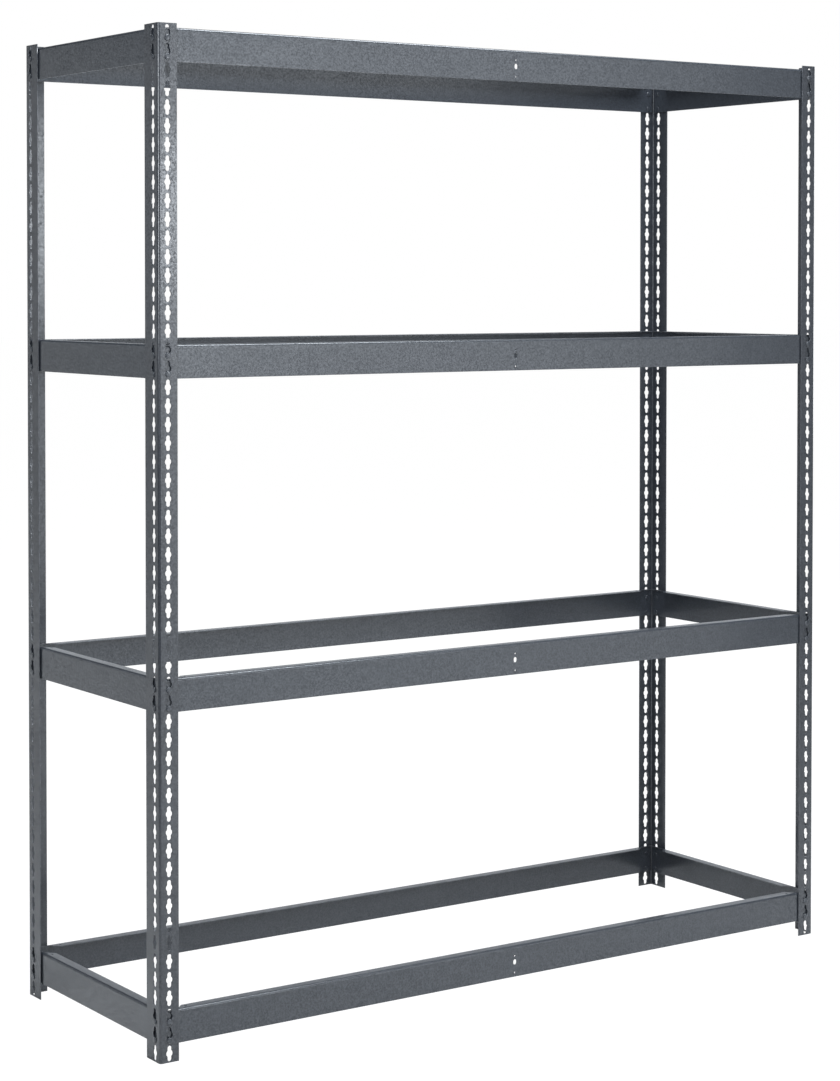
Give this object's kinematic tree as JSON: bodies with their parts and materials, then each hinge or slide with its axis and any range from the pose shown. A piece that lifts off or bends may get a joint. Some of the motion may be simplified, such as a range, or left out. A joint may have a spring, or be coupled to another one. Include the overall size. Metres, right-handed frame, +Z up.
{
  "type": "boltless steel shelving",
  "caption": "Open boltless shelving frame: slotted steel angle posts, and flanged beams whose rivets drop into the posts' keyhole slots to carry decks.",
  "frame": {"origin": "on the floor, at the middle of the unit's plan", "axes": "+X along the unit's width to the right, +Y from the front to the rear, +Z up; the front faces -Y"},
  "size_m": [1.8334, 0.6142, 2.1336],
  "materials": {
    "post_powder_coat": "dark blue-grey powder coat, semi-gloss with a fine texture",
    "beam_powder_coat": "dark blue-grey powder coat, semi-gloss with a fine texture"
  },
  "bodies": {
    "posts": {"post_front_left": "post_powder_coat", "post_front_right": "post_powder_coat", "post_rear_left": "post_powder_coat", "post_rear_right": "post_powder_coat"},
    "beam_front_1": {"beam_front_1": "beam_powder_coat"},
    "beam_rear_1": {"beam_rear_1": "beam_powder_coat"},
    "beam_left_1": {"beam_left_1": "beam_powder_coat"},
    "beam_right_1": {"beam_right_1": "beam_powder_coat"},
    "beam_front_2": {"beam_front_2": "beam_powder_coat"},
    "beam_rear_2": {"beam_rear_2": "beam_powder_coat"},
    "beam_left_2": {"beam_left_2": "beam_powder_coat"},
    "beam_right_2": {"beam_right_2": "beam_powder_coat"},
    "beam_front_3": {"beam_front_3": "beam_powder_coat"},
    "beam_rear_3": {"beam_rear_3": "beam_powder_coat"},
    "beam_left_3": {"beam_left_3": "beam_powder_coat"},
    "beam_right_3": {"beam_right_3": "beam_powder_coat"},
    "beam_front_4": {"beam_front_4": "beam_powder_coat"},
    "beam_rear_4": {"beam_rear_4": "beam_powder_coat"},
    "beam_left_4": {"beam_left_4": "beam_powder_coat"},
    "beam_right_4": {"beam_right_4": "beam_powder_coat"}
  },
  "joints": [
    {"name": "lift_front_1", "type": "slide", "parent": "posts", "child": "beam_front_1", "axis": [0, 0, 1], "range_m": [0, 0.0115]},
    {"name": "lift_rear_1", "type": "slide", "parent": "posts", "child": "beam_rear_1", "axis": [0, 0, 1], "range_m": [0, 0.0115]},
    {"name": "lift_left_1", "type": "slide", "parent": "posts", "child": "beam_left_1", "axis": [0, 0, 1], "range_m": [0, 0.0115]},
    {"name": "lift_right_1", "type": "slide", "parent": "posts", "child": "beam_right_1", "axis": [0, 0, 1], "range_m": [0, 0.0115]},
    {"name": "lift_front_2", "type": "slide", "parent": "posts", "child": "beam_front_2", "axis": [0, 0, 1], "range_m": [0, 0.0115]},
    {"name": "lift_rear_2", "type": "slide", "parent": "posts", "child": "beam_rear_2", "axis": [0, 0, 1], "range_m": [0, 0.0115]},
    {"name": "lift_left_2", "type": "slide", "parent": "posts", "child": "beam_left_2", "axis": [0, 0, 1], "range_m": [0, 0.0115]},
    {"name": "lift_right_2", "type": "slide", "parent": "posts", "child": "beam_right_2", "axis": [0, 0, 1], "range_m": [0, 0.0115]},
    {"name": "lift_front_3", "type": "slide", "parent": "posts", "child": "beam_front_3", "axis": [0, 0, 1], "range_m": [0, 0.0115]},
    {"name": "lift_rear_3", "type": "slide", "parent": "posts", "child": "beam_rear_3", "axis": [0, 0, 1], "range_m": [0, 0.0115]},
    {"name": "lift_left_3", "type": "slide", "parent": "posts", "child": "beam_left_3", "axis": [0, 0, 1], "range_m": [0, 0.0115]},
    {"name": "lift_right_3", "type": "slide", "parent": "posts", "child": "beam_right_3", "axis": [0, 0, 1], "range_m": [0, 0.0115]},
    {"name": "lift_front_4", "type": "slide", "parent": "posts", "child": "beam_front_4", "axis": [0, 0, 1], "range_m": [0, 0.0115]},
    {"name": "lift_rear_4", "type": "slide", "parent": "posts", "child": "beam_rear_4", "axis": [0, 0, 1], "range_m": [0, 0.0115]},
    {"name": "lift_left_4", "type": "slide", "parent": "posts", "child": "beam_left_4", "axis": [0, 0, 1], "range_m": [0, 0.0115]},
    {"name": "lift_right_4", "type": "slide", "parent": "posts", "child": "beam_right_4", "axis": [0, 0, 1], "range_m": [0, 0.0115]}
  ]
}
